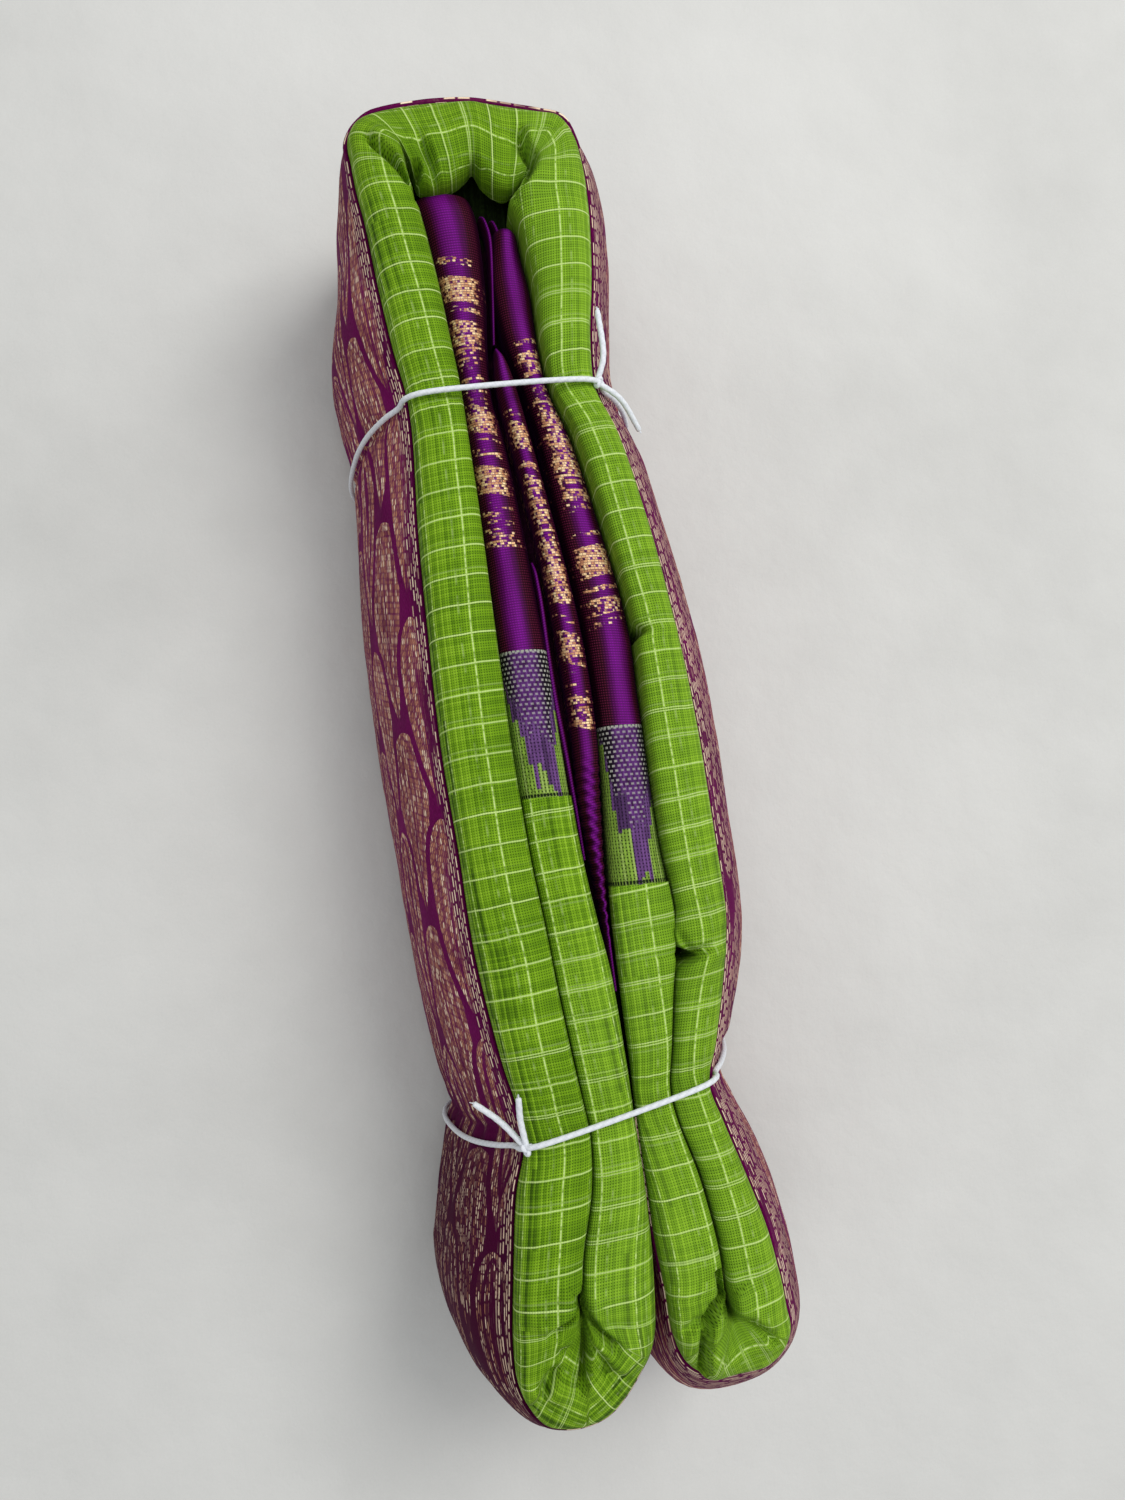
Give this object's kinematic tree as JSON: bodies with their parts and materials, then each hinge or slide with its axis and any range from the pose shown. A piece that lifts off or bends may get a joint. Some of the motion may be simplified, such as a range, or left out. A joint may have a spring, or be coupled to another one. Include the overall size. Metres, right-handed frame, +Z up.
{
  "type": "folded saree tied with string",
  "caption": "Folded saree bundle, checked body with brocade border and a pallu at the middle, folded into lobes and tied with two strings, standing on its long folded edges.",
  "frame": {"origin": "centre of the bundle's outline in plan, on the surface that it rests on", "axes": "+Z up, +Y along the bundle towards the end with one turn, -Y towards the two lobes, +X to the right seen from above with +Y away"},
  "size_m": [0.1209, 0.3932, 0.0993],
  "materials": {
    "inside": "folded cloth",
    "body": "crisp checked weave",
    "border": "brocade with metallic thread",
    "band": "open joint weave",
    "pallu": "satin with metallic thread",
    "string": "matt cotton"
  },
  "bodies": {
    "root": {"hidden_layers": "inside", "border_left": "border", "border_right": "border", "border_top_end": "border", "border_lobe_left": "border", "border_lobe_right": "border", "border_slit_left": "border", "border_slit_right": "border", "roll_outer_left": "body", "roll_outer_right": "body", "roll_top_bend": "body", "roll_lobe_left": "body", "roll_lobe_right": "body", "roll_inner_left": "body", "roll_inner_right": "body", "joint_band_left": "band", "joint_band_right": "band", "pallu_left": "pallu", "pallu_right": "pallu", "pallu_centre": "pallu", "tie_upper": "string", "tie_lower": "string"}
  },
  "joints": []
}
